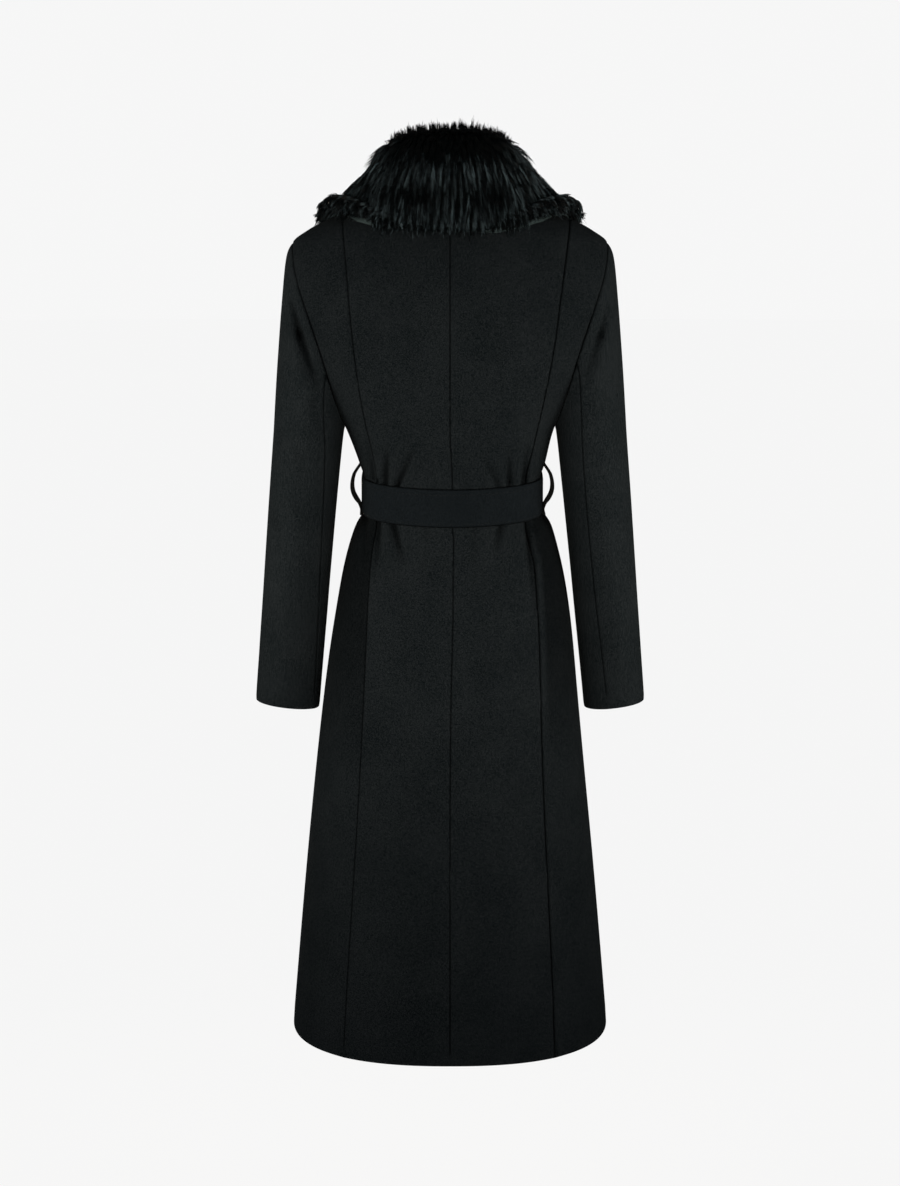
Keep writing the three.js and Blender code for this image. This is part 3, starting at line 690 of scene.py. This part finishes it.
# A covered cord stands out over the belt at each side seam and keeps it in its place.
# Its two ends go into the side seam above and below the belt.
# Past the two seat levels each end bends in towards the cloth.
cord_cover = wool("cord_cover", (0.0005, 0.0006, 0.0006), (0.0016, 0.0018, 0.0018), 0.0006)
cord_fullness = 0.0007
cord_seat = 0.0026
seat_levels = (-0.360, -0.396)
seat_run = 0.012
for side, mirror in (("left", 1), ("right", -1)):
    carrier = cloth_mesh("belt_carrier_" + side)
    cord = points_of(carrier) + normals_of(carrier) * cord_fullness
    top = np.clip((cord[:, 2] - seat_levels[0]) / seat_run, 0, 1)
    foot = np.clip((seat_levels[1] - cord[:, 2]) / seat_run, 0, 1)
    cord[:, 0] -= mirror * cord_seat * (top + foot)
    move_points(carrier, cord)
    mark_seams(carrier, no_edge)
    put_on(carrier, "belt_carrier_" + side, cord_cover)

# The wool under the collar is cut to the fur's outline. Near the back's two lower corners
# it hangs a little lower than the fur and shows as a thin edge below it.
under_wool = wool("under_wool", (0.0026, 0.0042, 0.0047), (0.0065, 0.0098, 0.0105))
edge_drop = np.array((0.0, 0.0018, -0.0050))
shows_from_left = 0.085
shows_from_right = 0.040
shows_up_to = 0.130
shows_below = 0.020
shows_fading = 0.015
shows_end_fading = 0.010


def wool_shows(points):
    """Where the wool shows below the fur's lower edge, 0 to 1: further along on the right."""
    left = np.clip((points[:, 0] - shows_from_left) / shows_fading, 0, 1)
    right = np.clip((-points[:, 0] - shows_from_right) / shows_fading, 0, 1)
    corner = np.clip((shows_up_to - np.abs(points[:, 0])) / shows_end_fading, 0, 1)
    back = np.clip(points[:, 1] / side_blend, 0, 1)
    low = np.clip(1 - points[:, 2] / shows_below, 0, 1)
    return np.maximum(left, right) * corner * back * low


under = cloth_mesh("collar_under", 1)
move_points(under, points_of(under) + wool_shows(points_of(under))[:, None] * edge_drop)
mark_seams(under, no_edge)
finish_cloth(under, "collar_under", under_wool)

# The fur collar stands up round the neck, rolls over and falls on the back and shoulders.
# Its padded skin lies well inside the fur's outline, but rests on the wool beneath it.
# The fur gets thinner towards the collar's two ends at the front.
skin_depth = 0.0105
deeper_underneath = 0.8
deeper_at_corner = 0.35
corner_from = 0.09
corner_fading = 0.03
skin_end = 176
thinning_run = 40
thinnest_skin = 0.25
wool_distance = 0.008
facing_wool = 0.5


def unit(vectors):
    """Each row made one long."""
    return vectors / np.maximum(np.linalg.norm(vectors, axis=1), 1e-9)[:, None]


def turn_round_neck(points):
    """How far round the neck each point lies, in degrees from the centre back."""
    return np.degrees(np.arctan2(np.abs(points[:, 0]), points[:, 1]))


def lies_on_wool(points, normals):
    """Which points of the skin face the wool close beneath them."""
    wool_surface = surface_of(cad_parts["collar_under"].data)
    result = np.zeros(len(points), bool)
    for i, (point, normal) in enumerate(zip(points, normals)):
        near, _, _, distance = wool_surface.find_nearest(Vector(point))
        towards = (near - Vector(point)).normalized()
        result[i] = distance < wool_distance and towards.dot(Vector(normal)) > facing_wool
    return result


skin = cloth_mesh("collar_fur")
skin.name = "collar_skin"
outline, outwards = points_of(skin), normals_of(skin)
on_wool = lies_on_wool(outline, outwards)
thinner = np.clip((skin_end - turn_round_neck(outline)) / thinning_run, thinnest_skin, 1)
facing_down = np.clip(-outwards[:, 2], 0, 1)
at_corner = np.clip((np.abs(outline[:, 0]) - corner_from) / corner_fading, 0, 1)
deeper = 1 + deeper_underneath * facing_down + deeper_at_corner * at_corner
sunk = np.where(on_wool, 0.0, skin_depth * deeper) * thinner
move_points(skin, outline - outwards * sunk[:, None])

fur_skin = new_material("fur_skin", {"Roughness": 1.0, "Specular IOR Level": 0.0})
mottle(fur_skin, 500.0, (0.0003, 0.0004, 0.0005), (0.0015, 0.0018, 0.002))
put_on(skin, "collar_fur", fur_skin, math.radians(80))

# The fur is long soft hair, which grows in locks and runs from the neck over the roll and
# down to the edge. Each hair ends about where the collar's outline is.
# It is painted darkest on the roll, as painted shade, and painted lighter below it and again
# near the edge, as painted light.
fur_hairs = 17000
hairs_in_lock = 13
hair_length = 0.032
hair_width = 0.00040
upper_width = 0.85
lock_gather = 0.5
gather_curve = 1.4
hair_end = 182
shortest_hair = 0.35
bare_edge = 0.003
back_from = 0.03
corner_start = 0.098
corner_run = 0.02
corner_back = 0.012

# Where the skin faces down this much, few hairs grow on it, and those hang.
underside = -0.5
corner_underside = 0.05
few_roots = 0.05
hang_start = 0.1
hang_gain = 2
hang_down = np.array((0.0, 0.0, -0.9))
hang_aside = 0.3
corner_aside = 0.5

# A hair's line: how it rises from the skin and runs forward, first evenly and then with
# the square of the way along it, and how far its own weight bends it down.
even_rise, late_rise = 0.60, -0.30
even_forward, late_forward = 0.72, 0.20
hair_droop = np.array((0.0, 0.0, -0.14))

# The locks differ from each other, and the hairs in a lock differ a little as well: in the
# way they swing, their length, how they rise and how far past the outline they may reach.
lock_swing, hair_swing = 0.10, 0.06
lock_lengths, hair_lengths = (0.8, 1.1), (0.75, 1.1)
lock_lifts, hair_lifts = (0.7, 1.25), (0.8, 1.2)
lock_reaches, hair_reaches = (0.0, 0.0055), (-0.001, 0.002)
least_tone, lock_tone, own_tone = 0.2, 0.7, 0.6

# A hair that is too long keeps this share of its length at each cut. A hair that has lost
# much of it is darker, down to the least light.
cuts = 6
kept_share = 0.84
rim_slope = -0.3
length_light = 1.8
short_hair_light = 0.45
# Each hair is painted darker at its root, as painted shade under the other hairs, and painted
# lighter towards its tip.
painted_root_light = 0.4
painted_tip_light = 0.08

# The painted light and shade of the fur: the roll's top is painted darkest, as if in shade,
# and light tiers are painted on the dark fur below it, on the sides and at the front: how light
# each one is, and in millimetres where it is and how soon it fades.
darkest_painted_light = 0.03
upper_level_mm, upper_height_mm = 26, 14
lower_light, lower_level_mm, lower_fading_mm = 0.75, -4, 9
middle_light, middle_width_mm, middle_level_mm, middle_fading_mm = 0.5, 24, 24, 10
aside_light, roll_half_width_mm, aside_fading_mm = 0.6, 62, 22
# The front of the fur is painted lighter by this much.
front_light = 0.6
tier_unevenness_mm = 6

# The streaks, partly the fur's own lighter and darker hairs and partly painted highlights, are
# waves round the neck, which slant a little as they go down.
neck_radius_mm = 110
streak_waves = 12
streak_width_mm = (2.5, 12)
streak_slant = 1 / 50
streak_middle = 0.42
streak_flatness = 6.5
streak_sharpness = 2.2
rng = np.random.default_rng(7)

fur_hair = new_material("fur_hair", {"Roughness": 0.5, "Specular IOR Level": 0.008})
hair_tone = add_node(fur_hair, "Attribute", {}, attribute_name="tone")
hair_colour = two_tones(
    fur_hair, hair_tone, "Fac", (0.0002, 0.0004, 0.0005), (0.0165, 0.0255, 0.0305), (0.1, 0.8)
)
join(fur_hair, hair_colour, "Color", fur_hair.node_tree.nodes["Principled BSDF"], "Base Color")
fur_outline = surface_of(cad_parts["collar_fur"].data)


def hair_roots(count, at_back, on_left):
    """Random points on a quarter of the skin, few where it faces down, with their normals."""
    data = skin.data
    data.calc_loop_triangles()
    triangles = np.empty(len(data.loop_triangles) * 3, np.int32)
    data.loop_triangles.foreach_get("vertices", triangles)
    triangles = triangles.reshape(-1, 3)
    corners = points_of(skin)[triangles]
    sides = np.cross(corners[:, 1] - corners[:, 0], corners[:, 2] - corners[:, 0])
    area = np.linalg.norm(sides, axis=1)
    middle = corners.mean(axis=1)
    in_quarter = ((middle[:, 1] > back_from) == at_back) & ((middle[:, 0] >= 0) == on_left)
    area *= in_quarter & ~on_wool[triangles].all(axis=1)
    rise = normals_of(skin)[triangles][:, :, 2].mean(axis=1)
    at_corner = (np.abs(middle[:, 0]) > corner_start) & (middle[:, 1] > corner_back)
    area[(rise < underside) | (rise < corner_underside) & at_corner] *= few_roots
    pick = rng.choice(len(triangles), count, p=area / area.sum())
    u, v = rng.random(count), rng.random(count)
    over = u + v > 1
    u[over], v[over] = 1 - u[over], 1 - v[over]
    weights = np.stack([1 - u - v, u, v], 1)[:, :, None]
    place = (corners[pick] * weights).sum(axis=1)
    out = (normals_of(skin)[triangles[pick]] * weights).sum(axis=1)
    return place, unit(out)


def hair_flow(place, out):
    """The way the hair runs: up the inside, over the roll, down the outside, and then hanging."""
    spoke = unit(place * np.array((1, 1, 0)))
    outwards = (out * spoke).sum(axis=1)[:, None]
    flow = unit(spoke * out[:, 2:3] - np.array((0.0, 0.0, 1.0)) * outwards + 1e-6)
    hanging = np.clip(hang_start - out[:, 2:3] * hang_gain, 0, 1)
    at_corner = np.clip((np.abs(place[:, :1]) - corner_start) / corner_run, 0, 1)
    aside = hang_aside + corner_aside * at_corner
    return unit(flow * (1 - hanging) + (spoke * aside + hang_down) * hanging)


def hair_point(hair, share):
    """A point along each hair, which leaves the skin at a slant and then lies down."""
    rise = (even_rise * share + late_rise * share**2) * hair["lift"]
    forward = even_forward * share + late_forward * share**2
    droop = hair_droop * share**2
    return hair["root"] + hair["length"] * (hair["flow"] * forward + hair["out"] * rise + droop)


def shorten_outside(hair):
    """Shortens each hair until its tip is no further out than its own small allowance."""
    for _ in range(cuts):
        tips = hair_point(hair, 1.0)
        for i, tip in enumerate(tips):
            near, normal, _, _ = fur_outline.find_nearest(Vector(tip))
            allowed = hair["allowed"][i] - (hair["bare"][i] if normal.z < rim_slope else 0.0)
            if (Vector(tip) - near).dot(normal) > allowed:
                hair["length"][i] *= kept_share


def painted_tier_light(points, shift):
    """The fur's painted light at each point, 0 to 1: painted light where the tiers lie, and
    painted shade between them and on the roll's top.
    """
    level = points[:, 2] * 1000 + shift
    across = np.abs(points[:, 0]) * 1000
    upper = np.exp(-(((level - upper_level_mm) / upper_height_mm) ** 2))
    lower = lower_light * np.clip((lower_level_mm - level) / lower_fading_mm, 0, 1)
    middle = middle_light * np.exp(-((across / middle_width_mm) ** 2))
    middle *= np.clip((middle_level_mm - level) / middle_fading_mm, 0, 1)
    aside = aside_light * np.clip((across - roll_half_width_mm) / aside_fading_mm, 0, 1)
    front = front_light * np.clip(-points[:, 1] / side_blend, 0, 1)
    lightest = np.max([upper, lower, middle, aside, front], axis=0)
    return darkest_painted_light + (1 - darkest_painted_light) * lightest


def streaks_and_painted_highlights(points):
    """Long light and dark streaks that follow the hair from the neck to the edge, 0 to 1: partly
    the fur's own colour, partly painted highlights.
    """
    round_neck = np.arctan2(points[:, 0], points[:, 1]) * neck_radius_mm
    level = points[:, 2] * 1000
    waves = np.random.default_rng(3)
    total = np.zeros(len(points))
    for _ in range(streak_waves):
        period = waves.uniform(*streak_width_mm)
        slant = waves.normal(0, streak_slant)
        phase = waves.uniform(0, 7)
        total += np.sin(2 * math.pi * (round_neck / period + level * slant) + phase)
    return np.clip(streak_middle + total / streak_flatness, 0, 1)


def comb_hairs(count, at_back, on_left):
    """Roots, directions and lengths of many hairs, and the lock that each one leans into."""
    place, out = hair_roots(count, at_back, on_left)
    flow = hair_flow(place, out)
    locks = count // hairs_in_lock
    leaders = rng.choice(count, locks, replace=False)
    tree = KDTree(locks)
    for i, leader in enumerate(leaders):
        tree.insert(place[leader], i)
    tree.balance()
    lock = np.array([tree.find(point)[1] for point in place])
    swing = rng.normal(0, lock_swing, locks)[lock] + rng.normal(0, hair_swing, count)
    swing = swing[:, None]
    length = hair_length * rng.uniform(*lock_lengths, locks)[lock]
    length *= rng.uniform(*hair_lengths, count)
    reach = np.clip((hair_end - turn_round_neck(place)) / thinning_run, shortest_hair, 1)
    lift = rng.uniform(*lock_lifts, locks)[lock] * rng.uniform(*hair_lifts, count)
    allowed = rng.uniform(*lock_reaches, locks)[lock] + rng.uniform(*hair_reaches, count)
    light = least_tone + lock_tone * rng.random(locks)[lock] + own_tone * rng.random(count)
    hair = {
        "root": place,
        "out": out,
        "flow": unit(flow * np.cos(swing) + np.cross(out, flow) * np.sin(swing)),
        "length": (length * reach)[:, None],
        "lift": lift[:, None],
        "allowed": allowed,
        "bare": bare_edge * wool_shows(place),
        # Streaks, partly painted highlights, times each lock's and hair's own tone.
        "tone": streaks_and_painted_highlights(place) ** streak_sharpness * light,
        "shift": rng.normal(0, tier_unevenness_mm, locks)[lock],
        "leader": leaders[lock],
    }
    full_length = hair["length"].copy()
    shorten_outside(hair)
    left_over = (hair["length"] / full_length)[:, 0]
    hair["tone"] *= np.clip(left_over * length_light, short_hair_light, 1)
    return hair


def strand_faces(levels):
    """The faces of one closed strand of three-cornered rings that ends in a tip."""
    faces = [(2, 1, 0)]
    for i in range(0, 3 * (levels - 1), 3):
        faces += [(i + k, i + (k + 1) % 3, i + (k + 1) % 3 + 3, i + k + 3) for k in range(3)]
    last = 3 * (levels - 1)
    faces += [(last + k, last + (k + 1) % 3, last + 3) for k in range(3)]
    return faces


def strand_points(rings, tips, thin):
    """The points of all strands: a ring of three at each level, and the tip."""
    across = unit(np.cross(unit(tips - rings[0]), np.array((0.31, 0.22, 0.93))))
    over = np.cross(unit(tips - rings[0]), across)
    points = np.empty((len(tips), len(rings) * 3 + 1, 3))
    for i in range(len(rings)):
        for k in range(3):
            turn = math.radians(120 * k)
            side = across * math.cos(turn) + over * math.sin(turn)
            points[:, 3 * i + k] = rings[i] + side * hair_width * thin[i]
    points[:, -1] = tips
    return points


def strand_mesh(name, points, faces):
    """One mesh of many strands that all have the same faces."""
    count, size = points.shape[:2]
    pattern = np.array([corner for face in faces for corner in face])
    lengths = np.array([len(face) for face in faces])
    starts = np.cumsum(lengths) - lengths
    strands = np.arange(count)[:, None]
    data = bpy.data.meshes.new(name)
    data.vertices.add(size * count)
    data.vertices.foreach_set("co", points.ravel())
    data.loops.add(count * len(pattern))
    data.loops.foreach_set("vertex_index", (pattern + size * strands).ravel().astype(np.int32))
    data.polygons.add(count * len(faces))
    firsts = (starts + len(pattern) * strands).ravel()
    data.polygons.foreach_set("loop_start", firsts.astype(np.int32))
    data.polygons.foreach_set("use_smooth", np.ones(count * len(faces), bool))
    data.update(calc_edges=True)
    return data


def fur_part(name, at_back, on_left):
    """A quarter of the fur: many hairs that lean into locks, with painted shade at their roots
    and painted light towards their tips and in the tiers.
    """
    hair = comb_hairs(fur_hairs, at_back, on_left)
    rings = []
    for share in (0.0, 0.5, 1.0):
        own = hair_point(hair, share)
        rings.append(own + (own[hair["leader"]] - own) * lock_gather * share**gather_curve)
    points = strand_points(rings[:2], rings[2], (1.0, upper_width))
    data = strand_mesh(name, points, strand_faces(2))
    along = np.array((0, 0, 0, 0.5, 0.5, 0.5, 1.0))
    # Painted light and shade of the tiers, taken near each hair's tip.
    tier = painted_tier_light(hair_point(hair, 0.7), hair["shift"])[:, None]
    # Painted shade towards each hair's root, painted light towards its tip.
    tone = hair["tone"][:, None] * (painted_root_light + (1 - painted_root_light) * along)
    shade = (tone + along * painted_tip_light) * tier
    tones = data.attributes.new("tone", "FLOAT", "POINT")
    tones.data.foreach_set("value", shade.ravel().astype(np.float32))
    data.materials.append(fur_hair)
    piece = bpy.data.objects.new(name, data)
    bpy.context.scene.collection.objects.link(piece)
    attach(piece, "root")


fur_part("fur_back_left", True, True)
fur_part("fur_back_right", True, False)
fur_part("fur_front_left", False, True)
fur_part("fur_front_right", False, False)
